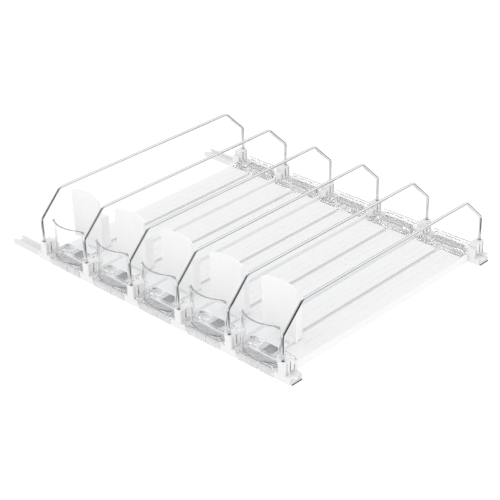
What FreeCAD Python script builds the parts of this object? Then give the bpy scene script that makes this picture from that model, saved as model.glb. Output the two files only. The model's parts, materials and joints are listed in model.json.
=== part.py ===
import FreeCAD, Part
import math
import os

# Self-feeding can organizer for a refrigerator shelf
# Two rails lie across the shelf, front and back. Five lanes bridge them, each with a slotted track,
# a clear curved stop in front, a clear clip behind and a spring pusher that slides along the track.
# Six bent wires on moulded feet stand between the lanes. Lanes and wires slide along the rails.
# Frame: +X along the rails to the right, +Y to the back, +Z up, origin at the bottom centre.

# Driving dimensions in millimetres

# Layout
lane_count = 5
lane_pitch = 75.5
leg_span = 335.0
rail_length = 450.0
right_overhang = 12.5

# Rails, a channel with lips turned in over a slot
rail_width = 15.0
rail_height = 5.5
rail_wall = 1.6
rail_lip = 2.4
rail_lip_thickness = 1.4

# Feet
foot_width = 22.6
foot_height = 24.0
shoulder_height = 8.5
foot_corner = 1.5
post_width = 9.5
post_corner = 1.2
post_front_wall = 1.2
step_height = 18.0
step_depth = 4.5
ledge_front = 4.0
ledge_height = 7.2
apron_thickness = 2.0
rear_apron_thickness = 1.6

# Grooves in the foot's sides: one beside the wire and a U round a snap tab, with a window behind it
side_groove_front = -1.0
side_groove_width = 2.4
side_groove_depth = 0.9
snap_slot_front = 4.6
snap_slot_width = 2.0
snap_slot_depth = 1.4
snap_slot_corner = 1.8
snap_tab_width = 4.3
pocket_floor = 1.3
pocket_roof = 1.4
window_height = 8.1
window_depth = 3.2

# Bent wire
wire_diameter = 3.6
wire_bend_radius = 7.0
wire_knee_height = 53.2
wire_top_height = 82.8
wire_top_setback = 30.0
wire_socket_depth = 12.0
wire_clearance = 0.05

# Track
track_width = 69.6
track_top = 10.0
track_floor_gap = 0.5
track_top_wall = 1.8
track_skirt = 1.8
track_edge_radius = 0.8
track_slot = 5.4
track_channel_width = 18.0
track_channel_depth = 2.0
track_channel_wall = 1.4
groove_inner = 9.2
groove_outer = 18.6
groove_width = 1.0
groove_depth = 0.4
notch_inner = 13.6
notch_reach = 27.6
gate_half_width = 6.5
gate_hook_width = 3.0
gate_hook_length = 2.2

# Clear stop and clear clip
plate_half_width = 31.5
plate_thickness = 2.0
plate_reach = 28.0
plate_lift = 0.5
plate_corner = 3.0
lip_thickness = 2.0
stop_half_chord = 26.0
stop_radius = 42.0
stop_wall = 2.2
stop_bead = 1.7
stop_height = 56.8
stop_corner = 7.0
clip_lip_height = 2.2
clip_lip_thickness = 1.6
key_half_length = 20.0
pad_wall = 1.6
tongue_width = 12.0
tongue_reach = 19.0
tongue_height = 5.2
mould_line_place = 4.2
mould_line_width = 0.8
mould_line_depth = 0.6

# Pusher
pusher_radius = 48.0
pusher_half_chord = 24.2
pusher_wall = 2.0
pusher_back = 43.4
pusher_bottom = 23.0
pusher_top = 84.0
pusher_top_corner = 5.0
pusher_bottom_corner = 3.0
housing_width = 19.0
housing_back = 62.6
housing_top = 50.2
housing_corner = 3.5
housing_wall = 2.0
sled_front = 28.4
sled_thickness = 2.0
sled_corner = 2.0
runner_width = 16.0
runner_height = 1.4
runner_front = 31.0

# Spring
strip_width = 14.0
strip_thickness = 0.2
strip_tab = 3.0
coil_inner_radius = 3.4

# Clearances
slide_clearance = 0.2
pad_clearance = 0.4
track_end_clearance = 1.0
coil_clearance = 0.3

# Sizes that follow from the driving dimensions

half_span = leg_span / 2
right_divider_x = rail_length / 2 - right_overhang
wire_radius = wire_diameter / 2

# Each end of the organizer has its own frame: y = 0 at the wire leg, +y towards the lane
foot_front = -(wire_radius + post_front_wall)
rail_front = foot_front + apron_thickness + slide_clearance
rail_back = rail_front + rail_width
foot_back = rail_back + slide_clearance + rear_apron_thickness
slot_front = rail_front + rail_wall + rail_lip
slot_back = rail_back - rail_wall - rail_lip
rail_seat = rail_height + slide_clearance
track_end = foot_back + track_end_clearance
track_length = leg_span - 2 * track_end
plate_bottom = track_top + plate_lift
plate_top = plate_bottom + plate_thickness
sled_bottom = track_top + strip_thickness + slide_clearance
channel_top = track_top - track_top_wall
channel_floor = channel_top - track_channel_depth
tongue_top = channel_top - slide_clearance
tongue_bottom = tongue_top - tongue_height
tongue_inner = notch_inner + pad_clearance
notch_outer = plate_half_width + pad_clearance
pad_back = notch_reach - pad_clearance
cavity_front = pusher_back + slide_clearance + housing_wall
cavity_back = housing_back - housing_wall
coil_radius = (cavity_back - cavity_front) / 2 - coil_clearance
coil_y = (cavity_back + cavity_front) / 2
coil_z = track_top + strip_thickness + coil_clearance + coil_radius


def divider_x(index):
    """Place of a wire divider, counted from 1 at the left."""
    return right_divider_x - (lane_count + 1 - index) * lane_pitch


def lane_x(index):
    """Middle of a lane, counted from 1 at the left."""
    return (divider_x(index) + divider_x(index + 1)) / 2


def block(x0, x1, y0, y1, z0, z1):
    """Rectangular block between two corners."""
    return Part.makeBox(x1 - x0, y1 - y0, z1 - z0, FreeCAD.Vector(x0, y0, z0))


def rounded_outline(u0, u1, v0, v1, radii):
    """Closed outline of a rectangle in the XY plane, with one corner radius each,
    in the order low-low, high-low, high-high, low-high."""
    corners = [(u0, v0), (u1, v0), (u1, v1), (u0, v1)]
    inward = [(1, 1), (-1, 1), (-1, -1), (1, -1)]
    edges = []
    ends = []
    for number, (corner, turn, radius) in enumerate(zip(corners, inward, radii)):
        along_u = FreeCAD.Vector(corner[0] + turn[0] * radius, corner[1], 0)
        along_v = FreeCAD.Vector(corner[0], corner[1] + turn[1] * radius, 0)
        reach = radius * (1 - math.sqrt(0.5))
        middle = FreeCAD.Vector(corner[0] + turn[0] * reach, corner[1] + turn[1] * reach, 0)
        first, last = (along_v, along_u) if number % 2 == 0 else (along_u, along_v)
        if radius > 0:
            edges.append(Part.Arc(first, middle, last).toShape())
        ends.append((first, last))
    for number in range(4):
        start = ends[number][1]
        finish = ends[(number + 1) % 4][0]
        edges.append(Part.makeLine(start, finish))
    return Part.Wire(Part.__sortEdges__(edges))


def plan_block(x0, x1, y0, y1, z0, z1, radii):
    """Block with rounded upright edges."""
    outline = rounded_outline(x0, x1, y0, y1, radii)
    solid = Part.Face(outline).extrude(FreeCAD.Vector(0, 0, z1 - z0))
    solid.translate(FreeCAD.Vector(0, 0, z0))
    return solid


def front_block(x0, x1, z0, z1, y0, y1, radii):
    """Block whose corners are rounded in the front view, between two depths."""
    outline = rounded_outline(x0, x1, z0, z1, radii)
    solid = Part.Face(outline).extrude(FreeCAD.Vector(0, 0, y0 - y1))
    solid.rotate(FreeCAD.Vector(0, 0, 0), FreeCAD.Vector(1, 0, 0), 90)
    solid.translate(FreeCAD.Vector(0, y0, 0))
    return solid


def side_block(y0, y1, z0, z1, x0, x1, radii):
    """Block whose corners are rounded in the side view, between two widths."""
    outline = rounded_outline(y0, y1, z0, z1, radii)
    solid = Part.Face(outline).extrude(FreeCAD.Vector(0, 0, x1 - x0))
    solid.rotate(FreeCAD.Vector(0, 0, 0), FreeCAD.Vector(1, 1, 1), 120)
    solid.translate(FreeCAD.Vector(x0, 0, 0))
    return solid


def curved_band(centre_y, outer_radius, thickness, half_chord, side, z0, z1):
    """Upright curved wall, symmetric about x = 0. side is +1 when the wall's
    middle is behind the centre of its curve and -1 when it is in front."""
    inner_radius = outer_radius - thickness
    half_angle = math.asin(half_chord / (outer_radius - thickness / 2))

    def at(radius, angle):
        return FreeCAD.Vector(radius * math.sin(angle), centre_y + side * radius * math.cos(angle), z0)

    outer = Part.Arc(at(outer_radius, -half_angle), at(outer_radius, 0), at(outer_radius, half_angle))
    inner = Part.Arc(at(inner_radius, half_angle), at(inner_radius, 0), at(inner_radius, -half_angle))
    right = Part.makeLine(at(outer_radius, half_angle), at(inner_radius, half_angle))
    left = Part.makeLine(at(inner_radius, -half_angle), at(outer_radius, -half_angle))
    outline = Part.Wire([outer.toShape(), right, inner.toShape(), left])
    return Part.Face(outline).extrude(FreeCAD.Vector(0, 0, z1 - z0))


def fuse(solids):
    """One solid from several that touch or overlap."""
    return solids[0].fuse(solids[1:]).removeSplitter()


def at_front(solid, x):
    """Place a piece made in the end frame at the front."""
    solid.translate(FreeCAD.Vector(x, -half_span, 0))
    return solid


def at_back(solid, x):
    """Place a piece made in the end frame at the back, turned half round."""
    solid.rotate(FreeCAD.Vector(0, 0, 0), FreeCAD.Vector(0, 0, 1), 180)
    solid.translate(FreeCAD.Vector(x, half_span, 0))
    return solid


def rail():
    """Channel section along X: a floor, two walls and lips turned in over the slot."""
    half = rail_length / 2
    body = block(-half, half, rail_front, rail_back, 0, rail_height)
    hollow_top = rail_height - rail_lip_thickness
    hollow = block(-half, half, rail_front + rail_wall, rail_back - rail_wall, rail_wall, hollow_top)
    slot = block(-half, half, slot_front, slot_back, hollow_top, rail_height)
    return body.cut([hollow, slot])


def rail_key(half_length, top):
    """Tee that rides in the rail's slot, with its flange under the lips."""
    neck_front = slot_front + slide_clearance
    neck_back = slot_back - slide_clearance
    flange_front = rail_front + rail_wall + slide_clearance
    flange_back = rail_back - rail_wall - slide_clearance
    flange_bottom = rail_wall + slide_clearance
    flange_top = rail_height - rail_lip_thickness - slide_clearance
    neck = block(-half_length, half_length, neck_front, neck_back, flange_bottom, top)
    flange = block(-half_length, half_length, flange_front, flange_back, flange_bottom, flange_top)
    return neck.fuse(flange)


def side_pocket(half, depth, y0, y1, z0, z1, radii):
    """Pair of matching pockets in both sides of a post, rounded in the side view."""
    right = side_block(y0, y1, z0, z1, half - depth, half, radii)
    left = side_block(y0, y1, z0, z1, -half, -half + depth, radii)
    return [left, right]


def foot():
    """Moulded foot: shoulders that straddle the rail, a tall post for the wire,
    a lower step towards the lane, and grooves round a snap tab in both sides."""
    half = foot_width / 2
    shoulder = plan_block(-half, half, foot_front, ledge_front, track_floor_gap, shoulder_height,
                          [foot_corner, foot_corner, 0, 0])
    ledge = block(-half, half, ledge_front, foot_back, track_floor_gap, ledge_height)
    post_half = post_width / 2
    step_front = foot_back - step_depth
    post = plan_block(-post_half, post_half, foot_front, step_front, rail_seat, foot_height,
                      [post_corner, post_corner, 0, 0])
    step = side_block(step_front, foot_back, rail_seat, step_height, -post_half, post_half,
                      [0, 0, step_depth / 2, 0])
    body = fuse([shoulder, ledge, post, step])
    rail_room = block(-half, half, rail_front - slide_clearance, rail_back + slide_clearance, 0, rail_seat)
    socket = Part.makeCylinder(wire_radius + wire_clearance, wire_socket_depth,
                               FreeCAD.Vector(0, 0, foot_height - wire_socket_depth))
    cuts = [rail_room, socket]
    low = ledge_height + pocket_floor
    high = foot_height - pocket_roof
    step_high = step_height - pocket_roof
    groove_back = side_groove_front + side_groove_width
    cuts += side_pocket(post_half, side_groove_depth, side_groove_front, groove_back,
                        shoulder_height, high, [0] * 4)
    tab_front = snap_slot_front + snap_slot_width
    tab_back = tab_front + snap_tab_width
    ring = side_pocket(post_half, snap_slot_depth, snap_slot_front, tab_back + snap_slot_width,
                       low, step_high, [snap_slot_corner, snap_slot_corner, 0, 0])
    tab = block(-half, half, tab_front, tab_back, low + snap_slot_width, step_high)
    cuts += [side.cut(tab) for side in ring]
    cuts += side_pocket(post_half, snap_slot_depth, snap_slot_front, tab_front, step_high, high, [0] * 4)
    cuts += side_pocket(post_half, window_depth, snap_slot_front, tab_front, low + snap_slot_corner,
                        low + window_height, [0] * 4)
    return body.cut(cuts).fuse(rail_key(half, rail_seat)).removeSplitter()


def divider_wire():
    """Round wire bent into a flat-topped arch: upright legs, slanted shoulders, straight top."""
    corners = [
        FreeCAD.Vector(0, -half_span, foot_height - wire_socket_depth),
        FreeCAD.Vector(0, -half_span, wire_knee_height),
        FreeCAD.Vector(0, -half_span + wire_top_setback, wire_top_height),
        FreeCAD.Vector(0, half_span - wire_top_setback, wire_top_height),
        FreeCAD.Vector(0, half_span, wire_knee_height),
        FreeCAD.Vector(0, half_span, foot_height - wire_socket_depth),
    ]
    edges = []
    start = corners[0]
    for before, corner, after in zip(corners, corners[1:], corners[2:]):
        arriving = (corner - before).normalize()
        leaving = (after - corner).normalize()
        turn = arriving.getAngle(leaving)
        trim = wire_bend_radius * math.tan(turn / 2)
        first = corner - arriving * trim
        last = corner + leaving * trim
        towards_centre = (leaving - arriving).normalize()
        depth = wire_bend_radius / math.cos(turn / 2) - wire_bend_radius
        edges.append(Part.makeLine(start, first))
        edges.append(Part.Arc(first, corner + towards_centre * depth, last).toShape())
        start = last
    edges.append(Part.makeLine(start, corners[-1]))
    path = Part.Wire(edges)
    section = Part.Wire([Part.makeCircle(wire_radius, corners[0], FreeCAD.Vector(0, 0, 1))])
    return path.makePipeShell([section], True, False)


def track():
    """Lane track: a top with fine grooves, side skirts and a slotted channel under its middle.
    Both ends are notched for the clear bases, and the rear end opens for the pusher's runner."""
    half = track_width / 2
    length = track_length / 2
    body = front_block(-half, half, track_floor_gap, track_top, -length, length,
                       [0, 0, track_edge_radius, track_edge_radius])
    web = track_channel_width / 2 + track_channel_wall
    channel_bottom = channel_floor - track_channel_wall
    notch_end = half_span - notch_reach
    cuts = []
    for side in (-1, 1):
        low, high = sorted((side * web, side * (half - track_skirt)))
        cuts.append(block(low, high, -length, length, track_floor_gap, channel_top))
        for groove in (groove_inner, groove_outer):
            low, high = sorted((side * groove, side * (groove + groove_width)))
            cuts.append(block(low, high, -length, length, track_top - groove_depth, track_top))
        low, high = sorted((side * notch_inner, side * notch_outer))
        cuts.append(block(low, high, notch_end, length, channel_top, track_top))
        cuts.append(block(low, high, -length, -notch_end, channel_top, track_top))
    cuts.append(block(-web, web, -length, length, track_floor_gap, channel_bottom))
    channel_half = track_channel_width / 2
    cuts.append(block(-channel_half, channel_half, -length, length, channel_floor, channel_top))
    cuts.append(block(-track_slot / 2, track_slot / 2, -length, length, channel_top, track_top))
    cuts.append(block(-gate_half_width, gate_half_width, notch_end, length, channel_top, track_top))
    cuts.append(block(0, track_slot / 2 + gate_hook_width, notch_end - gate_hook_length, notch_end,
                      channel_top, track_top))
    return body.cut(cuts)


def clip_base():
    """Clear base at either end of a lane: a plate over the rail, a lip down the rail's outer face,
    a key in the rail's slot, and hollow pads with tongues that fill the notches in the track's end."""
    plate = plan_block(-plate_half_width, plate_half_width, foot_front, plate_reach, plate_bottom, plate_top,
                       [plate_corner] * 4)
    lip = block(-stop_half_chord, stop_half_chord, foot_front, foot_front + lip_thickness,
                track_floor_gap, plate_top)
    mould_line = block(mould_line_place, mould_line_place + mould_line_width,
                       foot_front, foot_front + mould_line_depth, track_floor_gap, plate_top)
    pieces = [plate, lip.cut(mould_line), rail_key(key_half_length, plate_bottom)]
    pad_front = foot_back + pad_clearance
    for side in (-1, 1):
        low, high = sorted((side * tongue_inner, side * plate_half_width))
        pad = block(low, high, pad_front, pad_back, tongue_bottom, plate_bottom)
        hollow = block(low + pad_wall, high - pad_wall, pad_front + pad_wall, pad_back - pad_wall,
                       tongue_bottom, plate_bottom)
        low, high = sorted((side * tongue_inner, side * (tongue_inner + tongue_width)))
        web = block(low, high, rail_back + slide_clearance, pad_front, tongue_bottom, plate_bottom)
        tongue = block(low, high, pad_back, foot_back + tongue_reach, tongue_bottom, tongue_top)
        pieces += [pad.cut(hollow), web, tongue]
    return fuse(pieces)


def front_stop():
    """Clear base with an upright curved wall that bulges forward and holds the first can."""
    centre_y = foot_front + stop_radius
    wall = curved_band(centre_y, stop_radius, stop_wall, stop_half_chord, -1, plate_bottom, stop_height)
    middle_radius = stop_radius - stop_wall / 2
    end_y = centre_y - math.sqrt(middle_radius ** 2 - stop_half_chord ** 2)
    bead_height = stop_height - plate_bottom
    bead_ends = [FreeCAD.Vector(side * stop_half_chord, end_y, plate_bottom) for side in (-1, 1)]
    beads = [Part.makeCylinder(stop_bead, bead_height, end) for end in bead_ends]
    outline_half = stop_half_chord + stop_bead
    outline = front_block(-outline_half, outline_half, plate_bottom, stop_height,
                          foot_front, end_y + stop_bead, [0, 0, stop_corner, stop_corner])
    wall = wall.fuse(beads).common(outline)
    return fuse([clip_base(), wall])


def rear_clip():
    """Clear base with a low raised lip along its outer edge and a pad that closes the track's gate."""
    raised = block(-plate_half_width + plate_corner, plate_half_width - plate_corner,
                   foot_front, foot_front + clip_lip_thickness, plate_bottom, plate_top + clip_lip_height)
    gate_half = gate_half_width - pad_clearance
    gate = block(-gate_half, gate_half, track_end, pad_back, tongue_top, plate_bottom)
    return fuse([clip_base(), raised, gate])


def pusher():
    """Plate that curves round the can, a hollow housing behind it for the spring coil,
    a flat sled and a runner that hooks under the track's slot."""
    outer_radius = pusher_radius + pusher_wall
    plate = curved_band(pusher_back - outer_radius, outer_radius, pusher_wall, pusher_half_chord, 1,
                        pusher_bottom, pusher_top)
    outline = front_block(-pusher_half_chord - pusher_wall, pusher_half_chord + pusher_wall,
                          pusher_bottom, pusher_top, 0, pusher_back,
                          [pusher_bottom_corner] * 2 + [pusher_top_corner] * 2)
    plate = plate.common(outline)
    half = housing_width / 2
    body = side_block(pusher_back - pusher_wall, housing_back, sled_bottom, housing_top, -half, half,
                      [0, 0, housing_corner, 0])
    plan = plan_block(-half, half, pusher_back - pusher_wall, housing_back, sled_bottom, housing_top,
                      [0, 0, housing_corner, housing_corner])
    housing = body.common(plan)
    sled = plan_block(-half, half, sled_front, housing_back, sled_bottom, sled_bottom + sled_thickness,
                      [sled_corner, sled_corner, housing_corner, housing_corner])
    cavity = block(-half + housing_wall, half - housing_wall, cavity_front, cavity_back,
                   sled_bottom, housing_top - housing_wall)
    neck_half = track_slot / 2 - slide_clearance
    runner_top = channel_top - slide_clearance
    neck = block(-neck_half, neck_half, cavity_back, housing_back, runner_top - runner_height, sled_bottom)
    runner = block(-runner_width / 2, runner_width / 2, runner_front, housing_back,
                   runner_top - runner_height, runner_top)
    shell = fuse([plate, housing, sled]).cut(cavity)
    return fuse([shell, neck, runner])


def spring_strip():
    """Flat steel strip on the track, from its tab over the track's front edge to the coil."""
    half = strip_width / 2
    tab_back = track_end - slide_clearance
    flat = block(-half, half, tab_back - strip_thickness, coil_y, track_top, track_top + strip_thickness)
    tab = block(-half, half, tab_back - strip_thickness, tab_back, track_top - strip_tab, track_top)
    return fuse([flat, tab])


def spring_coil():
    """Wound part of the spring, a ring that lies across the housing."""
    half = strip_width / 2
    base = FreeCAD.Vector(-half, coil_y, coil_z)
    along = FreeCAD.Vector(1, 0, 0)
    outer = Part.makeCylinder(coil_radius, strip_width, base, along)
    return outer.cut(Part.makeCylinder(coil_inner_radius, strip_width, base, along))


def save(name, solid):
    """Write one named piece."""
    solid.exportStep("parts/" + name + ".step")
    print(name, round(solid.Volume, 1), solid.isValid(), len(solid.Solids))


def build():
    """Make every piece at its place and write it."""
    os.makedirs("parts", exist_ok=True)
    save("front_rail", at_front(rail(), 0))
    save("rear_rail", at_back(rail(), 0))
    for index in range(1, lane_count + 2):
        x = divider_x(index)
        wire = divider_wire()
        wire.translate(FreeCAD.Vector(x, 0, 0))
        save("wire_divider_%d" % index, wire)
        save("front_foot_%d" % index, at_front(foot(), x))
        save("rear_foot_%d" % index, at_back(foot(), x))
    for index in range(1, lane_count + 1):
        x = lane_x(index)
        lane = track()
        lane.translate(FreeCAD.Vector(x, 0, 0))
        save("lane_track_%d" % index, lane)
        save("front_stop_%d" % index, at_front(front_stop(), x))
        save("rear_clip_%d" % index, at_back(rear_clip(), x))
        save("pusher_%d" % index, at_front(pusher(), x))
        save("spring_strip_%d" % index, at_front(spring_strip(), x))
        save("spring_coil_%d" % index, at_front(spring_coil(), x))


build()
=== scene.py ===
"""Looks of a self-feeding can organizer for a refrigerator shelf.

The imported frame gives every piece's size and place. Each sub-assembly is a class that builds its meshes
and dresses them, each finish is a frozen dataclass, and main() builds them in order.
"""

import json
import logging
import math
from dataclasses import dataclass, field
from enum import Enum
from typing import Dict, List, Sequence, Tuple

import bmesh
import bpy
import numpy as np
from mathutils import Matrix, Vector

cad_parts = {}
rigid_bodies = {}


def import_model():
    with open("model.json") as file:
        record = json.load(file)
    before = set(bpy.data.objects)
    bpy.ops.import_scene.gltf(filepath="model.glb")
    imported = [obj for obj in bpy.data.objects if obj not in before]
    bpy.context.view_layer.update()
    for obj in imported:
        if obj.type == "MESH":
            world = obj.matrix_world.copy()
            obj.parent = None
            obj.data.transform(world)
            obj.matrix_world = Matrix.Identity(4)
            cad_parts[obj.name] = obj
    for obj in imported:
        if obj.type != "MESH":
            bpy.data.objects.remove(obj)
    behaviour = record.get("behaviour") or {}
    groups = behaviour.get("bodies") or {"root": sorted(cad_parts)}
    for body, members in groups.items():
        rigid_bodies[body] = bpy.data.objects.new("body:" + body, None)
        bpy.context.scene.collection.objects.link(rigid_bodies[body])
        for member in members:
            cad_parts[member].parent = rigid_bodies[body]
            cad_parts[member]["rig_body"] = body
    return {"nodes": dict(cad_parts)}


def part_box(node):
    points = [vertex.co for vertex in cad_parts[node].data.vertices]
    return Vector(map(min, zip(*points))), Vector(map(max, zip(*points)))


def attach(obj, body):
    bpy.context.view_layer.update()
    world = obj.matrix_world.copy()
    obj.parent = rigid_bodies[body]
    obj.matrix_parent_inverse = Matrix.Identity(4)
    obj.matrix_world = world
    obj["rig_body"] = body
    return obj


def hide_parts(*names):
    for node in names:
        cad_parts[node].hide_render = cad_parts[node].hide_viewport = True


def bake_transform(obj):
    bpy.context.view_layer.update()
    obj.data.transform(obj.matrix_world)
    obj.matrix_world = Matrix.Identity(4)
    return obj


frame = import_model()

LOG = logging.getLogger("can_organizer")
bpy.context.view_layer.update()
MM = 0.001
LANES = 5
Colour = Tuple[float, float, float]
Material = bpy.types.Material
Socket = bpy.types.NodeSocket
Piece = bpy.types.Object

# Stretches of a noise's values, which mostly lie from 0.3 to 0.7
FULL_STRETCH = (0.3, 0.7)
TONE_STRETCH = (0.35, 0.65)
SPOT_STRETCH = (0.4, 0.6)
# Share of open surroundings at the bottom of a deep recess
SHUT_OFF = 0.05
# Profile of a bevel that is an arc of a circle
ARC_PROFILE = 0.5


class Slot(Enum):
    """The record's material slots."""

    RAIL = "white_rail"
    FOOT = "white_foot"
    TRACK = "white_track"
    PUSHER = "white_pusher"
    CLEAR = "clear_plastic"
    WIRE = "chrome_wire"
    SPRING = "spring_steel"


class Bench:
    """Places and joins shader nodes in one node tree."""

    def __init__(self, tree: bpy.types.NodeTree) -> None:
        """Take the tree that the nodes go into.

        Args:
            tree: a material's, a world's or a group's node tree.
        """
        self.tree = tree

    def node(self, kind: str, **values: object) -> bpy.types.Node:
        """Add a node and set its properties.

        Args:
            kind: the node's type name without its ShaderNode prefix.
            values: properties of the node.

        Returns:
            The new node.
        """
        made = self.tree.nodes.new("ShaderNode" + kind)
        for name, value in values.items():
            setattr(made, name, value)
        return made

    def feed(self, node: bpy.types.Node, **inputs: object) -> bpy.types.Node:
        """Set or link a node's inputs by name, with spaces written as underscores.

        Args:
            node: the node whose inputs are fed.
            inputs: numbers, colours or output sockets.

        Returns:
            The same node.
        """
        for name, value in inputs.items():
            socket = node.inputs[name.replace("_", " ")]
            if isinstance(value, Socket):
                self.tree.links.new(value, socket)
            else:
                socket.default_value = value
        return node

    def math(self, operation: str, *terms: object) -> Socket:
        """Add a Math node on up to three numbers or sockets.

        Args:
            operation: the node's operation.
            terms: numbers or output sockets.

        Returns:
            The result's socket.
        """
        made = self.node("Math", operation=operation)
        for socket, term in zip(made.inputs, terms):
            if isinstance(term, Socket):
                self.tree.links.new(term, socket)
            else:
                socket.default_value = term
        return made.outputs[0]

    def ramp(self, value: Socket, low: float, high: float, start: float,
             finish: float, smooth: bool = False) -> Socket:
        """Map a value's range to another, clamped.

        Args:
            value: the socket that is mapped.
            low: the value that gives start.
            high: the value that gives finish.
            start: the result at and below low.
            finish: the result at and above high.
            smooth: whether the slope eases in and out.

        Returns:
            The result's socket.
        """
        made = self.node("MapRange", interpolation_type="SMOOTHSTEP" if smooth else "LINEAR")
        self.feed(made, Value=value, From_Min=low, From_Max=high, To_Min=start, To_Max=finish)
        return made.outputs[0]

    def blend(self, share: object, first: object, second: object) -> Socket:
        """Mix two colours.

        Args:
            share: how much of the second colour.
            first: a colour or a socket.
            second: a colour or a socket.

        Returns:
            The mixed colour's socket.
        """
        made = self.node("Mix", data_type="RGBA")
        for index, value in ((0, share), (6, first), (7, second)):
            if isinstance(value, Socket):
                self.tree.links.new(value, made.inputs[index])
            elif index:
                made.inputs[index].default_value = (*value, 1)
            else:
                made.inputs[index].default_value = value
        return made.outputs[2]


class Effects:
    """Shader node groups that more than one finish uses."""

    _made: Dict[str, bpy.types.NodeTree] = {}

    @classmethod
    def _group(cls, name: str, inputs: Sequence[Tuple[str, float]],
               outputs: Sequence[str]) -> Tuple[Bench, bpy.types.Node, bpy.types.Node]:
        """Start a group with number inputs and outputs.

        Args:
            name: the group's name.
            inputs: names and default values.
            outputs: names.

        Returns:
            The bench, the group's input node and its output node.
        """
        tree = bpy.data.node_groups.new(name, "ShaderNodeTree")
        for title, value in inputs:
            socket = tree.interface.new_socket(title, in_out="INPUT", socket_type="NodeSocketFloat")
            socket.default_value = value
        for title in outputs:
            tree.interface.new_socket(title, in_out="OUTPUT", socket_type="NodeSocketFloat")
        cls._made[name] = tree
        return Bench(tree), tree.nodes.new("NodeGroupInput"), tree.nodes.new("NodeGroupOutput")

    @classmethod
    def moulded_skin(cls) -> bpy.types.NodeTree:
        """Cloudy tone, fine grain and flow marks of moulded plastic.

        Returns:
            The group: Cloud and Grain run from 0 to 1.
        """
        if "moulded_skin" in cls._made:
            return cls._made["moulded_skin"]
        bench, given, out = cls._group("moulded_skin", [("Cloud Scale", 20.0), ("Grain Scale", 1500.0)],
                                       ["Cloud", "Grain"])
        place = bench.node("TexCoord").outputs["Object"]
        cloud = bench.feed(bench.node("TexNoise"), Vector=place, Scale=given.outputs["Cloud Scale"],
                           Detail=3.0, Roughness=0.55, Distortion=0.6)
        grain = bench.feed(bench.node("TexNoise"), Vector=place, Scale=given.outputs["Grain Scale"],
                           Detail=2.0, Roughness=0.6)
        bench.tree.links.new(cloud.outputs[0], out.inputs["Cloud"])
        bench.tree.links.new(grain.outputs[0], out.inputs["Grain"])
        return bench.tree

    @classmethod
    def crevices(cls) -> bpy.types.NodeTree:
        """How deep a point lies in a narrow recess, from how much of its surroundings is shut off nearby.

        Returns:
            The group: Depth runs from 0 in the open to 1 in a deep recess.
        """
        if "crevices" in cls._made:
            return cls._made["crevices"]
        bench, given, out = cls._group("crevices", [("Reach", 0.005), ("Open", 0.75)], ["Depth"])
        # The finishes paint shade and light into recesses with this depth
        shut = bench.feed(bench.node("AmbientOcclusion", samples=6, only_local=True),
                          Distance=given.outputs["Reach"])
        depth = bench.feed(bench.node("MapRange"), Value=shut.outputs["AO"], From_Min=given.outputs["Open"],
                           From_Max=SHUT_OFF, To_Min=0.0, To_Max=1.0)
        bench.tree.links.new(depth.outputs[0], out.inputs["Depth"])
        return bench.tree

    @classmethod
    def drawn_lines(cls) -> bpy.types.NodeTree:
        """Fine lines that drawing or rolling leaves along Y.

        Returns:
            The group: Lines runs from 0 to 1.
        """
        if "drawn_lines" in cls._made:
            return cls._made["drawn_lines"]
        bench, given, out = cls._group("drawn_lines", [("Across", 4000.0), ("Along", 30.0)], ["Lines"])
        parts = bench.feed(bench.node("SeparateXYZ"), Vector=bench.node("TexCoord").outputs["Object"])
        across, along = given.outputs["Across"], given.outputs["Along"]
        stretched = bench.feed(bench.node("CombineXYZ"), X=bench.math("MULTIPLY", parts.outputs[0], across),
                               Y=bench.math("MULTIPLY", parts.outputs[1], along),
                               Z=bench.math("MULTIPLY", parts.outputs[2], across))
        lines = bench.feed(bench.node("TexNoise"), Vector=stretched.outputs[0], Scale=1.0, Detail=3.0)
        bench.tree.links.new(lines.outputs[0], out.inputs["Lines"])
        return bench.tree

    @classmethod
    def extruded_waves(cls) -> bpy.types.NodeTree:
        """Shallow waves across a lane, which an extruded or long moulded top has along its length.

        The height is the cosine of the distance from the lane's middle, in waves of the given width.

        Returns:
            The group: Height runs from -1 to 1.
        """
        if "extruded_waves" in cls._made:
            return cls._made["extruded_waves"]
        bench, given, out = cls._group("extruded_waves",
                                       [("Middle", 0.0), ("Pitch", 0.0755), ("Width", 0.0093)], ["Height"])
        parts = bench.feed(bench.node("SeparateXYZ"), Vector=bench.node("TexCoord").outputs["Object"])
        from_middle = bench.math("SUBTRACT", parts.outputs[0], given.outputs["Middle"])
        half = bench.math("MULTIPLY", given.outputs["Pitch"], 0.5)
        folded = bench.math("WRAP", from_middle, half, bench.math("MULTIPLY", half, -1.0))
        turns = bench.math("DIVIDE", folded, given.outputs["Width"])
        height = bench.math("COSINE", bench.math("MULTIPLY", turns, 2 * math.pi))
        bench.tree.links.new(height, out.inputs["Height"])
        return bench.tree


class Finish:
    """Base of all finishes: a named material with one Principled shader."""

    name: str

    def start(self) -> Tuple[Material, Bench, bpy.types.Node]:
        """Make the empty material.

        Returns:
            The material, its bench and its Principled node.
        """
        material = bpy.data.materials.new(self.name)
        material.use_nodes = True
        bench = Bench(material.node_tree)
        shader = next(n for n in material.node_tree.nodes if n.type == "BSDF_PRINCIPLED")
        return material, bench, shader

    @staticmethod
    def use(bench: Bench, group: bpy.types.NodeTree, **inputs: float) -> bpy.types.Node:
        """Place an effect group in a material.

        Args:
            bench: the material's bench.
            group: the effect.
            inputs: the group's values, with spaces written as underscores.

        Returns:
            The group's node.
        """
        made = bench.node("Group", node_tree=group)
        return bench.feed(made, **inputs)


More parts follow.
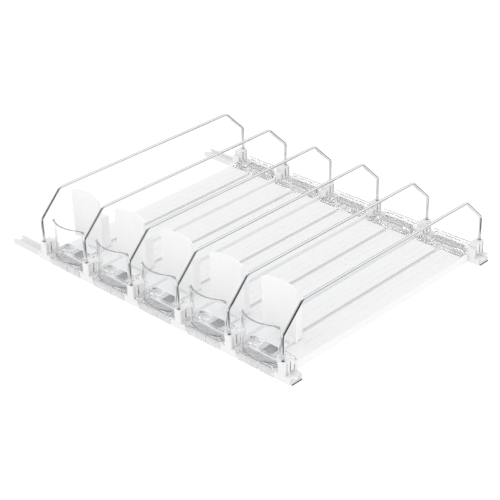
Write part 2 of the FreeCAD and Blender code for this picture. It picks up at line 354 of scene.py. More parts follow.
@dataclass(frozen=True)
class OpaquePlastic(Finish):
    """Opaque plastic with a faint cloudiness, a fine moulded grain and painted shade and light in its
    recesses.
    """

    name: str
    light: Colour
    shade: Colour
    roughness: float = 0.36
    roughness_spread: float = 0.08
    grain_scale: float = 1500.0
    grain_height: float = 0.000012
    wave_height: float = 0.0
    wave_middle: float = 0.0
    recess_reach: float = 0.005
    recess_open: float = 0.75
    # Colour painted into recesses: painted shade where it is darker than the plastic, painted light where it
    # is lighter
    painted_recess_colour: Colour = (0.42, 0.42, 0.44)
    # Painted light: recesses glow by this much
    painted_recess_glow: float = 0.0
    ior: float = 1.4

    def build(self) -> Material:
        """Make the material.

        Returns:
            The finished material.
        """
        material, bench, shader = self.start()
        skin = self.use(bench, Effects.moulded_skin(), Grain_Scale=self.grain_scale)
        tone = bench.ramp(skin.outputs["Cloud"], *TONE_STRETCH, 0.0, 1.0, smooth=True)
        low = self.roughness - self.roughness_spread / 2
        rough = bench.ramp(skin.outputs["Cloud"], *FULL_STRETCH, low, low + self.roughness_spread)
        bump = bench.feed(bench.node("Bump"), Height=skin.outputs["Grain"], Distance=self.grain_height,
                          Strength=1.0)
        if self.wave_height:
            waves = self.use(bench, Effects.extruded_waves(), Middle=self.wave_middle)
            ridges = bench.feed(bench.node("Bump"), Height=waves.outputs["Height"], Distance=self.wave_height,
                                Strength=1.0)
            bench.feed(bump, Normal=ridges.outputs[0])
        recess = self.use(bench, Effects.crevices(), Reach=self.recess_reach, Open=self.recess_open)
        surface = bench.blend(tone, self.light, self.shade)
        # Recesses turn to the painted recess colour, which paints shade where it is darker and light where it
        # is lighter
        bench.feed(shader, Base_Color=bench.blend(recess.outputs["Depth"], surface, self.painted_recess_colour),
                   Roughness=rough, Normal=bump.outputs[0])
        # Painted light: recesses glow, as if light reached into them
        if self.painted_recess_glow:
            painted_recess_light = bench.math("MULTIPLY", recess.outputs["Depth"], self.painted_recess_glow)
            bench.feed(shader, Emission_Color=painted_recess_light, Emission_Strength=1.0)
        shader.inputs["IOR"].default_value = self.ior
        return material


@dataclass(frozen=True)
class ClearPlastic(Finish):
    """Clear polished plastic with faint flow marks, and painted shade as a greyer tint in the thick parts
    near its foot and on its pads.
    """

    name: str
    tint: Colour = (0.985, 0.99, 0.99)
    haze: Colour = (0.955, 0.965, 0.97)
    # Painted shade: tint of the thick part near the foot
    thick_painted_shade: Colour = (0.93, 0.93, 0.945)
    thick_top: float = 0.0128
    thick_fade: float = 0.0012
    thick_roughness: float = 0.03
    # Painted shade: tint of the pads nearer the middle, below the thick top
    pad_painted_shade: Colour = (0.85, 0.85, 0.865)
    pad_line: float = 0.1462
    pad_fade: float = 0.0004
    ior: float = 1.26
    polish: float = 0.3
    roughness: float = 0.03
    flow_scale: float = 45.0
    flow_height: float = 0.00002
    clearness: float = 0.95
    shadow: float = 0.97
    deepest: int = 4
    deep_grey: float = 0.93
    mottle: float = 0.0
    mottle_scale: float = 220.0
    mottle_tint: Colour = (0.45, 0.45, 0.47)

    def build(self) -> Material:
        """Make the material.

        Shadow rays, scattered rays and rays after many bounces pass straight through it.

        Returns:
            The finished material.
        """
        material, bench, shader = self.start()
        skin = self.use(bench, Effects.moulded_skin(), Cloud_Scale=self.flow_scale,
                        Grain_Scale=self.mottle_scale)
        tone = bench.ramp(skin.outputs["Cloud"], *FULL_STRETCH, 0.0, 1.0, smooth=True)
        bump = bench.feed(bench.node("Bump"), Height=skin.outputs["Cloud"], Distance=self.flow_height,
                          Strength=1.0)
        place = bench.feed(bench.node("SeparateXYZ"), Vector=bench.node("TexCoord").outputs["Object"])
        thick = bench.ramp(place.outputs[2], self.thick_top, self.thick_top + self.thick_fade, 1.0, 0.0,
                           smooth=True)
        inner = bench.ramp(bench.math("ABSOLUTE", place.outputs[1]), self.pad_line,
                           self.pad_line + self.pad_fade, 1.0, 0.0)
        # Painted shade near the foot, then random darker spots as mottle
        foot_painted_shade_and_mottle = bench.blend(inner, self.thick_painted_shade, self.pad_painted_shade)
        if self.mottle:
            spots = bench.ramp(skin.outputs["Grain"], *SPOT_STRETCH, self.mottle, 0.0)
            foot_painted_shade_and_mottle = bench.blend(spots, foot_painted_shade_and_mottle, self.mottle_tint)
        colour = bench.blend(thick, bench.blend(tone, self.tint, self.haze), foot_painted_shade_and_mottle)
        rough = bench.ramp(thick, 0.0, 1.0, self.roughness, self.thick_roughness)
        bench.feed(shader, Base_Color=colour, Roughness=rough, Normal=bump.outputs[0])
        shader.inputs["IOR"].default_value = self.ior
        shader.inputs["Transmission Weight"].default_value = self.clearness
        shader.inputs["Coat Weight"].default_value = self.polish
        shader.inputs["Coat Roughness"].default_value = self.roughness
        path = bench.node("LightPath")
        mixed = bench.node("MixShader")
        out = next(n for n in material.node_tree.nodes if n.type == "OUTPUT_MATERIAL")
        links = material.node_tree.links
        unseen = bench.math("MAXIMUM", path.outputs["Is Shadow Ray"], path.outputs["Is Diffuse Ray"])
        deep = bench.math("GREATER_THAN", path.outputs["Ray Depth"], float(self.deepest))
        links.new(bench.math("MAXIMUM", unseen, deep), mixed.inputs[0])
        dimming = bench.ramp(deep, 0.0, 1.0, self.shadow, self.deep_grey)
        passing = bench.feed(bench.node("BsdfTransparent"), Color=dimming)
        links.new(shader.outputs[0], mixed.inputs[1])
        links.new(passing.outputs[0], mixed.inputs[2])
        links.new(mixed.outputs[0], out.inputs["Surface"])
        return material


@dataclass(frozen=True)
class Metal(Finish):
    """Bare or plated metal with lines along its length."""

    name: str
    bright: Colour
    dull: Colour
    roughness: float
    roughness_spread: float
    line_height: float
    across: float = 4000.0
    along: float = 30.0

    def build(self) -> Material:
        """Make the material.

        Returns:
            The finished material.
        """
        material, bench, shader = self.start()
        drawn = self.use(bench, Effects.drawn_lines(), Across=self.across, Along=self.along)
        lines = drawn.outputs["Lines"]
        tone = bench.ramp(lines, *FULL_STRETCH, 0.0, 1.0)
        low = self.roughness - self.roughness_spread / 2
        rough = bench.ramp(lines, *FULL_STRETCH, low, low + self.roughness_spread)
        bump = bench.feed(bench.node("Bump"), Height=lines, Distance=self.line_height, Strength=1.0)
        bench.feed(shader, Base_Color=bench.blend(tone, self.bright, self.dull), Roughness=rough,
                   Normal=bump.outputs[0])
        shader.inputs["Metallic"].default_value = 1.0
        return material


def grid_faces(rows: int, columns: int, wrap_columns: bool) -> np.ndarray:
    """Quads between the points of a grid that is stored row by row.

    Args:
        rows: number of rows of points.
        columns: number of points in a row.
        wrap_columns: whether the last column joins the first.

    Returns:
        The quads' point numbers, four to a row.
    """
    row = np.arange(rows - 1)[:, None]
    column = np.arange(columns if wrap_columns else columns - 1)[None, :]
    after = (column + 1) % columns
    quads = np.stack([row * columns + column, row * columns + after,
                      (row + 1) * columns + after, (row + 1) * columns + column], axis=-1)
    return quads.reshape(-1, 4)


def mesh_piece(name: str, points: np.ndarray, faces: Sequence[Sequence[int]],
               smooth: bool = True) -> Piece:
    """Put points and faces into a new object at the origin.

    Args:
        name: the piece's name.
        points: corners in metres.
        faces: corner numbers of each face.
        smooth: whether the faces are shaded smooth.

    Returns:
        The new object.
    """
    mesh = bpy.data.meshes.new(name)
    mesh.from_pydata(np.asarray(points, float).tolist(), [], [list(map(int, face)) for face in faces])
    mesh.validate()
    mesh.polygons.foreach_set("use_smooth", np.full(len(mesh.polygons), smooth))
    mesh.update()
    piece = bpy.data.objects.new(name, mesh)
    bpy.context.scene.collection.objects.link(piece)
    return piece


def tube(name: str, path: np.ndarray, across: np.ndarray, radius: float, sides: int) -> Piece:
    """Round tube along a path that lies in one plane.

    Each ring is the path's point plus the radius times the cosine along the plane's normal and the sine
    along the in-plane normal. A flat cap closes both ends.

    Args:
        name: the piece's name.
        path: points of the centre line.
        across: the plane's unit normal.
        radius: the tube's radius.
        sides: points in a ring.

    Returns:
        The tube.
    """
    step = np.gradient(path, axis=0)
    step /= np.linalg.norm(step, axis=1, keepdims=True)
    inward = np.cross(step, across)
    angle = np.linspace(0, 2 * math.pi, sides, endpoint=False)
    ring = (np.cos(angle)[None, :, None] * across[None, None, :]
            + np.sin(angle)[None, :, None] * inward[:, None, :])
    points = (path[:, None, :] + radius * ring).reshape(-1, 3)
    faces = grid_faces(len(path), sides, True).tolist()
    last = (len(path) - 1) * sides
    faces.append(list(range(sides))[::-1])
    faces.append(list(range(last, last + sides)))
    return mesh_piece(name, points, faces)


def node_body(node: str) -> str:
    """Name of the body that a CAD node rides on."""
    return frame["nodes"][node]["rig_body"]


def dress(piece: Piece, material: Material, node: str) -> Piece:
    """Give a piece its finish and let it stand for a CAD node on the node's body.

    Args:
        piece: the new piece.
        material: its finish.
        node: the CAD node that it stands for.

    Returns:
        The piece.
    """
    piece.data.materials.clear()
    piece.data.materials.append(material)
    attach(piece, node_body(node))
    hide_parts(node)
    LOG.info("%s stands for %s on %s", piece.name, node, node_body(node))
    return piece


@dataclass
class MouldedPart:
    """A moulded piece: its CAD form with the small roundings that a mould gives every edge."""

    node: str
    name: str
    rounding: float
    segments: int = 2
    merge: float = 1e-6
    flat_angle: float = math.radians(0.3)
    edge_angle: float = math.radians(28)
    edge_index: int = -1

    def welded(self) -> Tuple[np.ndarray, np.ndarray]:
        """Join the loose triangles of the CAD form.

        Points that agree to a micrometre become one, and triangles with a repeated corner go.

        Returns:
            The points and the triangles.
        """
        mesh = frame["nodes"][self.node].data
        corners = np.empty(len(mesh.vertices) * 3, np.float32)
        mesh.vertices.foreach_get("co", corners)
        loops = np.empty(len(mesh.loops), np.int32)
        mesh.loops.foreach_get("vertex_index", loops)
        keys = np.round(corners.reshape(-1, 3).astype(float) / self.merge).astype(np.int64)
        unique, number = np.unique(keys, axis=0, return_inverse=True)
        faces = number.reshape(-1)[loops].reshape(-1, 3)
        whole = (faces[:, 0] != faces[:, 1]) & (faces[:, 1] != faces[:, 2]) & (faces[:, 2] != faces[:, 0])
        return unique * self.merge, faces[whole]

    def shape(self, work: bmesh.types.BMesh) -> None:
        """Change the welded form before its edges are rounded. A plain moulded part has no change.

        Args:
            work: the welded form.
        """

    def build(self) -> Piece:
        """Make the rounded piece.

        Returns:
            The piece with live Bevel and Weighted Normal modifiers.
        """
        points, faces = self.welded()
        piece = mesh_piece(self.name, points, faces)
        work = bmesh.new()
        work.from_mesh(piece.data)
        bmesh.ops.dissolve_limit(work, angle_limit=self.flat_angle, verts=work.verts, edges=work.edges)
        self.shape(work)
        work.to_mesh(piece.data)
        work.free()
        piece.data.polygons.foreach_set("use_smooth", np.full(len(piece.data.polygons), True))
        bevel = piece.modifiers.new("edge rounding", "BEVEL")
        bevel.width = self.rounding
        bevel.segments = self.segments
        bevel.limit_method = "ANGLE"
        bevel.angle_limit = self.edge_angle
        bevel.use_clamp_overlap = True
        # On clear parts the rounded edges take the edge finish, a painted dark reflection
        bevel.material = self.edge_index
        normals = piece.modifiers.new("even shading", "WEIGHTED_NORMAL")
        normals.keep_sharp = False
        return piece


@dataclass
class TrackMoulding(MouldedPart):
    """A lane's track, whose slot has broad soft shoulders."""

    slot_half: float = 2.7 * MM
    shoulder: float = 1.5 * MM
    shoulder_steps: int = 5
    near: float = 0.05 * MM

    def shape(self, work: bmesh.types.BMesh) -> None:
        """Round both long top edges of the slot.

        Args:
            work: the welded form.
        """
        low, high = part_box(self.node)
        middle = (low.x + high.x) / 2
        chosen = []
        for edge in work.edges:
            first, last = edge.verts[0].co, edge.verts[1].co
            on_slot = all(abs(abs(p.x - middle) - self.slot_half) < self.near for p in (first, last))
            on_top = all(abs(p.z - high.z) < self.near for p in (first, last))
            if on_slot and on_top and edge.calc_length() > self.slot_half:
                chosen.append(edge)
        bmesh.ops.bevel(work, geom=chosen, offset=self.shoulder, offset_type="OFFSET",
                        segments=self.shoulder_steps, profile=ARC_PROFILE, affect="EDGES",
                        clamp_overlap=True)
        LOG.info("%s has %d soft slot edges", self.name, len(chosen))


@dataclass
class StopMoulding(MouldedPart):
    """A clear stop: its wall has a fillet at its foot, and its lip reaches the foot at its right."""

    wall_foot: float = 12.5 * MM
    fillet: float = 0.8 * MM
    fillet_half: float = 24.0 * MM
    fillet_steps: int = 4
    lip_left: float = 2.2 * MM
    lip_right: float = 0.4 * MM
    near: float = 0.05 * MM
    lip_half: float = 26.0 * MM
    lip_high: float = 10.4 * MM
    rim_low: float = 45.0 * MM
    rim_slope: float = 0.5
    rise: float = 1.0 * MM
    front_margin: float = 0.02 * MM

    def shape(self, work: bmesh.types.BMesh) -> None:
        """Shift the lip's ends to the right, round the wall's foot and give the fillet and the rim the edge
        finish, a painted dark reflection.

        Points are moved in place, so that the bevel meets the edges in their welded order.

        Args:
            work: the welded form.
        """
        low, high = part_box(self.node)
        middle = (low.x + high.x) / 2
        for corner in work.verts:
            away = corner.co.x - middle
            if abs(abs(away) - self.lip_half) < self.near and corner.co.z < self.lip_high:
                corner.co.x += self.lip_right if away > 0 else self.lip_left
        chosen = []
        for edge in work.edges:
            level = all(abs(end.co.z - self.wall_foot) < self.near
                        and abs(end.co.x - middle) < self.fillet_half for end in edge.verts)
            rises = [any(end.co.z > self.wall_foot + self.rise for end in face.verts)
                     for face in edge.link_faces]
            if level and any(rises) and not all(rises):
                chosen.append(edge)
        # The fillet's faces take the edge finish: a painted dark reflection along the wall's foot
        bmesh.ops.bevel(work, geom=chosen, offset=self.fillet, offset_type="OFFSET",
                        segments=self.fillet_steps, profile=ARC_PROFILE, affect="EDGES",
                        clamp_overlap=False, material=self.edge_index)
        for corner in work.verts:
            if self.wall_foot - self.near < corner.co.z < self.wall_foot + self.fillet + self.near:
                corner.co.y = max(corner.co.y, low.y + self.front_margin)
        work.normal_update()
        # The rim's top faces take the edge finish: a painted dark reflection along the top of the wall
        rim = [face for face in work.faces
               if face.normal.z > self.rim_slope and min(end.co.z for end in face.verts) > self.rim_low]
        for face in rim:
            face.material_index = self.edge_index
        LOG.info("%s has %d edges in its wall's fillet and %d rim faces", self.name, len(chosen), len(rim))


@dataclass
class WireDivider:
    """Bent wire arch between two lanes."""

    number: int
    material: Material
    radius: float = 1.8 * MM
    bend_radius: float = 7.0 * MM
    knee: float = 53.2 * MM
    top: float = 82.8 * MM
    setback: float = 30.0 * MM
    sides: int = 28
    arc_steps: int = 14

    def centre_line(self) -> np.ndarray:
        """Points of the wire's middle: straight runs joined by tangent arcs.

        An arc's points are its centre plus the bend radius times the cosine and sine of the turned angle.

        Returns:
            The points from the front leg's end to the rear leg's end.
        """
        low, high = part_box("wire_divider_%d" % self.number)
        middle = (low.x + high.x) / 2
        leg = high.y - self.radius
        corners = np.array([(-leg, low.z), (-leg, self.knee), (-leg + self.setback, self.top),
                            (leg - self.setback, self.top), (leg, self.knee), (leg, low.z)])
        pieces = [corners[:1]]
        for before, corner, after in zip(corners, corners[1:], corners[2:]):
            arriving = (corner - before) / np.linalg.norm(corner - before)
            leaving = (after - corner) / np.linalg.norm(after - corner)
            turn = math.acos(float(arriving @ leaving))
            first = corner - arriving * self.bend_radius * math.tan(turn / 2)
            inward = np.array([arriving[1], -arriving[0]])
            angle = np.linspace(0, turn, self.arc_steps)[:, None]
            centre = first + inward * self.bend_radius
            pieces.append(centre - inward * self.bend_radius * np.cos(angle)
                          + arriving * self.bend_radius * np.sin(angle))
        pieces.append(corners[-1:])
        flat = np.vstack(pieces)
        return np.column_stack([np.full(len(flat), middle), flat])

    def build(self) -> Piece:
        """Make the wire.

        Returns:
            The wire's piece.
        """
        piece = tube("wire_%d" % self.number, self.centre_line(), np.array([1.0, 0, 0]), self.radius,
                     self.sides)
        return dress(piece, self.material, "wire_divider_%d" % self.number)


@dataclass
class FeederSpring:
    """Flat spring of one lane: the wound coil in the housing and the strip along the track."""

    number: int
    material: Material
    strip_thickness: float = 0.2 * MM
    turns: float = 8.0
    steps_per_turn: int = 36
    hole_share: float = 0.56
    strip_rows: int = 40
    strip_columns: int = 9

    def coil(self) -> Piece:
        """Make the wound part: a band on a spiral.

        The band's radius grows evenly with its angle, from the ring's hole to its outside.

        Returns:
            The coil's piece.
        """
        node = "spring_coil_%d" % self.number
        low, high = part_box(node)
        outer = (high.z - low.z) / 2 - self.strip_thickness
        inner = outer * self.hole_share
        centre_y, centre_z = (low.y + high.y) / 2, (low.z + high.z) / 2
        angle = np.linspace(0, 2 * math.pi * self.turns, int(self.turns * self.steps_per_turn) + 1)
        middle = inner + (outer - inner) * angle / angle[-1]
        half = self.strip_thickness / 2
        loop = [(middle - half, low.x), (middle - half, high.x),
                (middle + half, high.x), (middle + half, low.x)]
        lines = [np.column_stack([np.full_like(angle, x), centre_y + r * np.sin(angle),
                                  centre_z - r * np.cos(angle)]) for r, x in loop]
        points = np.stack(lines, axis=1).reshape(-1, 3)
        faces = grid_faces(len(angle), 4, True)[:, ::-1].tolist()
        last = (len(angle) - 1) * 4
        faces.append([0, 1, 2, 3])
        faces.append([last + 3, last + 2, last + 1, last])
        piece = mesh_piece("spring_winding_%d" % self.number, points, faces, smooth=False)
        return dress(piece, self.material, node)

    def strip(self) -> Piece:
        """Make the strip, which lengthens between the lane and the feeder when the pusher is drawn back.

        It is flat: an even grid of points, once at the strip's top and once a thickness below, joined by
        quads round the rim.

        Returns:
            The strip's piece.
        """
        node = "spring_strip_%d" % self.number
        low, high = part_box(node)
        rows, columns = self.strip_rows, self.strip_columns
        count = rows * columns
        half, middle, top = (high.x - low.x) / 2, (high.x + low.x) / 2, high.z
        x, y = np.meshgrid(middle + half * np.linspace(-1, 1, columns),
                           low.y + (high.y - low.y) * np.linspace(0, 1, rows))
        points = np.vstack([np.stack([x, y, np.full_like(x, top - depth)], axis=-1).reshape(-1, 3)
                            for depth in (0.0, self.strip_thickness)])
        upper = grid_faces(rows, columns, False)
        sides = [np.arange(rows) * columns, np.arange(rows) * columns + columns - 1,
                 np.arange(columns), np.arange(columns) + (rows - 1) * columns]
        rim = [np.column_stack([side[:-1], side[1:], side[1:] + count, side[:-1] + count]) for side in sides]
        faces = np.vstack([upper, upper[:, ::-1] + count, *rim])
        piece = mesh_piece("spring_band_%d" % self.number, points, faces, smooth=False)
        work = bmesh.new()
        work.from_mesh(piece.data)
        bmesh.ops.recalc_face_normals(work, faces=work.faces)
        work.to_mesh(piece.data)
        work.free()
        piece.data.materials.append(self.material)
        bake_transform(piece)
        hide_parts(node)
        return piece

    def build(self) -> List[Piece]:
        """Make the coil and the strip."""
        return [self.coil(), self.strip()]


@dataclass(frozen=True)
class ClearSet:
    """The finishes of the clear parts' faces and of their rounded edges, whose darker colour is a painted
    dark reflection.
    """

    stop: Material
    stop_edge: Material
    clip: Material
    clip_edge: Material

    @classmethod
    def make(cls) -> "ClearSet":
        """Make the four finishes.

        Returns:
            The set.
        """
        return cls(
            # Painted shade: greyer tints at the stop's thick foot and on its pads
            stop=ClearPlastic("clear_styrene", thick_painted_shade=(0.975, 0.975, 0.985), pad_painted_shade=(0.93, 0.93, 0.94),
                              mottle=0.16).build(),
            # Painted dark reflection on the stop's rounded edges, fillet and rim
            stop_edge=ClearPlastic("clear_styrene_edge_reflection", tint=(0.42, 0.42, 0.43), haze=(0.38, 0.38, 0.39),
                                   thick_painted_shade=(0.2, 0.2, 0.21), pad_painted_shade=(0.3, 0.3, 0.31), clearness=0.32,
                                   thick_top=0.0136, thick_fade=0.0002, deep_grey=0.4).build(),
            # Painted shade: a greyer tint on the clip's pads
            clip=ClearPlastic("clear_styrene_clip", thick_roughness=0.16, thick_painted_shade=(1.0, 1.0, 1.0),
                              pad_painted_shade=(0.9, 0.9, 0.915), mottle=0.1, flow_height=0.000008).build(),
            # Painted dark reflection on the clip's rounded edges
            clip_edge=ClearPlastic("clear_styrene_clip_edge", tint=(0.3, 0.3, 0.32), haze=(0.26, 0.26, 0.28),
                                   thick_painted_shade=(0.85, 0.85, 0.87), thick_roughness=0.16, clearness=0.7,
                                   deep_grey=0.8).build())


@dataclass
class Lane:
    """One lane: track, clear stop, clear clip, pusher and spring."""

    number: int
    finishes: Dict[Slot, Material]
    clear: ClearSet
    track_rounding: float = 0.15 * MM
    stop_rounding: float = 0.42 * MM
    clip_rounding: float = 0.4 * MM
    pusher_rounding: float = 0.45 * MM

    def clear_part(self, part: MouldedPart, body: Material, edge: Material) -> None:
        """Make one clear piece of the lane, whose rounded edges have a finish of their own: a painted dark
        reflection.

        Args:
            part: the moulded piece.
            body: the finish of its faces.
            edge: the finish of its rounded edges, a painted dark reflection.
        """
        piece = part.build()
        edges = [face.index for face in piece.data.polygons if face.material_index == part.edge_index]
        dress(piece, body, part.node)
        piece.data.materials.append(edge)
        for index in edges:
            piece.data.polygons[index].material_index = part.edge_index

    def build(self) -> None:
        """Make all pieces of the lane."""
        track = TrackMoulding("lane_track_%d" % self.number, "track_body_%d" % self.number,
                              self.track_rounding)
        dress(track.build(), self.finishes[Slot.TRACK], track.node)
        stop = StopMoulding("front_stop_%d" % self.number, "clear_stop_%d" % self.number,
                            self.stop_rounding, edge_index=1)
        self.clear_part(stop, self.clear.stop, self.clear.stop_edge)
        clip = MouldedPart("rear_clip_%d" % self.number, "clear_clip_%d" % self.number,
                           self.clip_rounding, edge_index=1)
        self.clear_part(clip, self.clear.clip, self.clear.clip_edge)
        pusher = MouldedPart("pusher_%d" % self.number, "pusher_body_%d" % self.number,
                             self.pusher_rounding)
        dress(pusher.build(), self.finishes[Slot.PUSHER], pusher.node)
        FeederSpring(self.number, self.finishes[Slot.SPRING]).build()


@dataclass
class Divider:
    """One divider: a bent wire on a front and a rear foot."""

    number: int
    finishes: Dict[Slot, Material]
    rounding: float = 0.3 * MM

    def build(self) -> None:
        """Make the wire and its feet."""
        WireDivider(self.number, self.finishes[Slot.WIRE]).build()
        for end in ("front", "rear"):
            foot = MouldedPart("%s_foot_%d" % (end, self.number), "%s_foot_body_%d" % (end, self.number),
                               self.rounding)
            dress(foot.build(), self.finishes[Slot.FOOT], foot.node)


@dataclass
class RailPair:
    """The two rails across the shelf, each with a small dark bar under its right end."""

    finishes: Dict[Slot, Material]
    bar_finish: Material
    rounding: float = 0.25 * MM
    strip_height: float = 1.3 * MM
    strip_reach: float = 0.5 * MM
    strip_inset: float = 0.6 * MM
    strip_rounding: float = 0.2 * MM
    strip_segments: int = 3

    def make_end_bar(self, end: str) -> None:
        """Make a small dark bevelled bar under a rail's right end, across the rail.

        Args:
            end: front or rear.
        """
        node = "%s_rail" % end
        low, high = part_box(node)
        x = np.array([high.x - self.strip_inset, high.x + self.strip_reach])
        y = np.array([low.y, high.y])
        z = np.array([low.z, low.z + self.strip_height])
        points = np.stack(np.meshgrid(x, y, z, indexing="ij"), axis=-1).reshape(-1, 3)
        faces = [[0, 1, 3, 2], [4, 6, 7, 5], [0, 4, 5, 1], [2, 3, 7, 6], [0, 2, 6, 4], [1, 5, 7, 3]]
        piece = mesh_piece("%s_rail_underbar" % end, points, faces)
        bevel = piece.modifiers.new("edge rounding", "BEVEL")
        bevel.width = self.strip_rounding
        bevel.segments = self.strip_segments
        piece.data.materials.append(self.bar_finish)
        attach(piece, node_body(node))

    def build(self) -> None:
        """Make both rails."""
        for end in ("front", "rear"):
            rail = MouldedPart("%s_rail" % end, "%s_rail_body" % end, self.rounding)
            dress(rail.build(), self.finishes[Slot.RAIL], rail.node)
            self.make_end_bar(end)


@dataclass(frozen=True)
class DarkBand:
    """A dark stretch of the studio, seen only in reflections."""

    azimuth: float
    half_width: float
    low: float
    high: float
    depth: float
    softness: float = 5.0


@dataclass
class Studio:
    """Pale floor, soft light and the camera at the photograph's angle."""

    azimuth: float = 44.44
    elevation: float = 29.25
    roll: float = -1.63
    place: Vector = field(default_factory=lambda: Vector((1.0118, -1.0254, 0.8091)))
    focal_pixels: float = 1402.2
    frame_pixels: float = 500.0
    sensor: float = 36.0
    ambient: float = 1.06
    backdrop: float = 1.15
    floor_half: float = 8.0
    floor_glow: float = 0.8
    floor_colour: float = 0.3
    key_power: float = 2.0
    key_size: Tuple[float, float] = (1.6, 1.2)
    key_place: Vector = field(default_factory=lambda: Vector((-1.1, -1.5, 1.4)))
    mirror_level: float = 1.12
    bands: Sequence[DarkBand] = (
        DarkBand(azimuth=-14, half_width=36, low=-15, high=43, depth=0.99, softness=4),
        DarkBand(azimuth=-22, half_width=44, low=-90, high=-15, depth=0.97, softness=4),
        DarkBand(azimuth=31, half_width=10, low=-18, high=2, depth=0.9, softness=4),
        DarkBand(azimuth=-142, half_width=30, low=-42, high=-15, depth=0.7, softness=5),
        DarkBand(azimuth=-80, half_width=30, low=-90, high=0, depth=0.25, softness=8),
        DarkBand(azimuth=-105, half_width=55, low=22, high=60, depth=0.62, softness=8),
        DarkBand(azimuth=52, half_width=18, low=-23, high=-3, depth=0.85),
        DarkBand(azimuth=98, half_width=22, low=-17, high=-2, depth=0.5),
        DarkBand(azimuth=133, half_width=14, low=22, high=40, depth=0.7),
    )

    def camera(self) -> None:
        """Make the camera from its azimuth, elevation, roll, place and focal length."""
        azimuth, elevation, roll = (math.radians(v) for v in (self.azimuth, self.elevation, self.roll))
        back = Vector((math.sin(azimuth) * math.cos(elevation), -math.cos(azimuth) * math.cos(elevation),
                       math.sin(elevation)))
        right = Vector((math.cos(azimuth), math.sin(azimuth), 0))
        up = back.cross(right)
        across = right * math.cos(roll) + up * math.sin(roll)
        upward = up * math.cos(roll) - right * math.sin(roll)
        data = bpy.data.cameras.new("camera")
        data.sensor_width = self.sensor
        data.lens = self.focal_pixels / self.frame_pixels * self.sensor
        camera = bpy.data.objects.new("camera", data)
        turn = Matrix((across, upward, back)).transposed()
        camera.matrix_world = Matrix.Translation(self.place) @ turn.to_4x4()
        bpy.context.scene.collection.objects.link(camera)
        bpy.context.scene.camera = camera

    def floor(self) -> None:
        """Make the pale floor, which glows a little as a lit studio sweep does."""
        half = self.floor_half
        points = np.array([(-half, -half, 0), (half, -half, 0), (half, half, 0), (-half, half, 0)])
        floor = mesh_piece("floor", points, [[0, 1, 2, 3]], smooth=False)
        material = bpy.data.materials.new("floor_white")
        material.use_nodes = True
        shader = next(n for n in material.node_tree.nodes if n.type == "BSDF_PRINCIPLED")
        shader.inputs["Base Color"].default_value = (*[self.floor_colour] * 3, 1)
        shader.inputs["Roughness"].default_value = 1.0
        shader.inputs["Specular IOR Level"].default_value = 0.0
        shader.inputs["Emission Color"].default_value = (1, 1, 1, 1)
        shader.inputs["Emission Strength"].default_value = self.floor_glow
        floor.data.materials.append(material)
        floor.visible_glossy = False

    def band_mask(self, bench: Bench, azimuth: Socket, elevation: Socket,
                  band: DarkBand) -> Socket:
        """Brightness factor of one dark band.

        It is 1 minus the band's depth inside its azimuths and elevations, and 1 outside.

        Args:
            bench: the world's bench.
            azimuth: the direction's azimuth in degrees.
            elevation: the direction's elevation in degrees.
            band: the band.

        Returns:
            The factor's socket.
        """
        away = bench.math("WRAP", bench.math("SUBTRACT", azimuth, band.azimuth), 180.0, -180.0)
        side = bench.ramp(bench.math("ABSOLUTE", away), band.half_width, band.half_width + band.softness,
                          1.0, 0.0, True)
        above = bench.ramp(elevation, band.low - band.softness, band.low, 0.0, 1.0, True)
        below = bench.ramp(elevation, band.high, band.high + band.softness, 1.0, 0.0, True)
        inside = bench.math("MULTIPLY", side, bench.math("MULTIPLY", above, below))
        return bench.math("SUBTRACT", 1.0, bench.math("MULTIPLY", inside, band.depth))

    def surroundings(self) -> None:
        """Make the even white surroundings. Mirror reflections also see the dark bands."""
        world = bpy.data.worlds.new("studio")
        world.use_nodes = True
        bpy.context.scene.world = world
        bench = Bench(world.node_tree)
        background = next(n for n in world.node_tree.nodes if n.type == "BACKGROUND")
        parts = bench.feed(bench.node("SeparateXYZ"), Vector=bench.node("TexCoord").outputs["Generated"])
        azimuth = bench.math("DEGREES", bench.math("ARCTAN2", parts.outputs[1], parts.outputs[0]))
        elevation = bench.math("DEGREES", bench.math("ARCSINE", parts.outputs[2]))
        mirror = self.mirror_level
        for band in self.bands:
            mirror = bench.math("MULTIPLY", mirror, self.band_mask(bench, azimuth, elevation, band))
        path = bench.node("LightPath")
        seen = path.outputs["Is Camera Ray"]
        glossy = bench.math("MULTIPLY", path.outputs["Is Glossy Ray"], path.outputs["Is Reflection Ray"])
        soft = bench.math("ADD", bench.math("MULTIPLY", glossy, mirror),
                          bench.math("MULTIPLY", bench.math("SUBTRACT", 1.0, glossy), self.ambient))
        level = bench.math("ADD", bench.math("MULTIPLY", seen, self.backdrop),
                           bench.math("MULTIPLY", bench.math("SUBTRACT", 1.0, seen), soft))
        bench.feed(background, Color=(1, 1, 1, 1), Strength=level)

    def key_light(self) -> None:
        """Make one large soft light at the front left, which sets the sides apart."""
        data = bpy.data.lights.new("softbox", "AREA")
        data.shape = "RECTANGLE"
        data.size, data.size_y = self.key_size
        data.energy = self.key_power
        light = bpy.data.objects.new("softbox", data)
        turn = (-self.key_place).to_track_quat("-Z", "Y").to_matrix().to_4x4()
        light.matrix_world = Matrix.Translation(self.key_place) @ turn
        light.visible_camera = False
        bpy.context.scene.collection.objects.link(light)

    def build(self) -> None:
        """Make the camera, floor, surroundings and light."""
        self.camera()
        self.floor()
        self.surroundings()
        self.key_light()
        view = bpy.context.scene.view_settings
        view.view_transform = "Standard"
        view.look = "None"


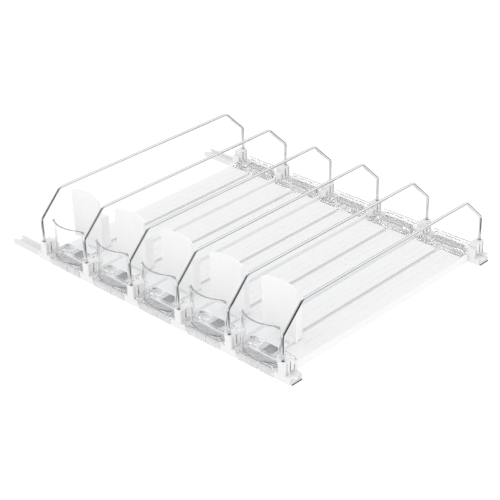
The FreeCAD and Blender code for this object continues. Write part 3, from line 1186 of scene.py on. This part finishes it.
def finishes() -> Dict[Slot, Material]:
    """Make the finishes of the white plastics and the metals.

    Returns:
        One material for each slot but the clear one.
    """
    low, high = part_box("lane_track_3")
    made = {
        # Painted light: the rail's recesses get a lighter colour and a glow
        Slot.RAIL: OpaquePlastic("rail_white", light=(0.79, 0.79, 0.795), shade=(0.775, 0.778, 0.785),
                                 roughness=0.42, painted_recess_colour=(0.9, 0.9, 0.91), painted_recess_glow=0.17),
        # Painted shade: the foot's recesses are painted darker
        Slot.FOOT: OpaquePlastic("foot_white", light=(0.85, 0.85, 0.852), shade=(0.84, 0.84, 0.845),
                                 roughness=0.3, painted_recess_colour=(0.6, 0.6, 0.62)),
        # Painted light: the track's recesses get a lighter colour and a glow
        Slot.TRACK: OpaquePlastic("track_white", light=(0.90, 0.90, 0.905), shade=(0.885, 0.887, 0.895),
                                  roughness=0.34, wave_height=0.00004, wave_middle=(low.x + high.x) / 2,
                                  painted_recess_colour=(0.96, 0.96, 0.965), painted_recess_glow=0.13, recess_open=0.4),
        # Painted shade: the pusher's recesses take the default dark recess colour
        Slot.PUSHER: OpaquePlastic("pusher_white", light=(0.925, 0.925, 0.93), shade=(0.91, 0.912, 0.92),
                                   roughness=0.42),
        Slot.WIRE: Metal("chrome_plate", bright=(0.80, 0.81, 0.82), dull=(0.74, 0.75, 0.76),
                         roughness=0.08, roughness_spread=0.05, line_height=0.000001),
        Slot.SPRING: Metal("spring_strip_steel", bright=(0.3, 0.3, 0.31), dull=(0.22, 0.22, 0.23),
                           roughness=0.26, roughness_spread=0.12, line_height=0.000002),
    }
    return {slot: finish.build() for slot, finish in made.items()}


def main() -> None:
    """Build the studio and the organizer."""
    logging.basicConfig(level=logging.INFO, format="%(name)s %(message)s")
    Studio().build()
    made = finishes()
    # Finish of the dark bars under the rails' ends; its recesses are painted darker still: painted shade
    bar_finish = OpaquePlastic("dark_bar_plastic", light=(0.06, 0.06, 0.062), shade=(0.045, 0.045, 0.047),
                         roughness=0.7, painted_recess_colour=(0.03, 0.03, 0.03)).build()
    RailPair(made, bar_finish).build()
    for number in range(1, LANES + 2):
        Divider(number, made).build()
    clear = ClearSet.make()
    for number in range(1, LANES + 1):
        Lane(number, made, clear).build()


if __name__ == "__main__":
    main()
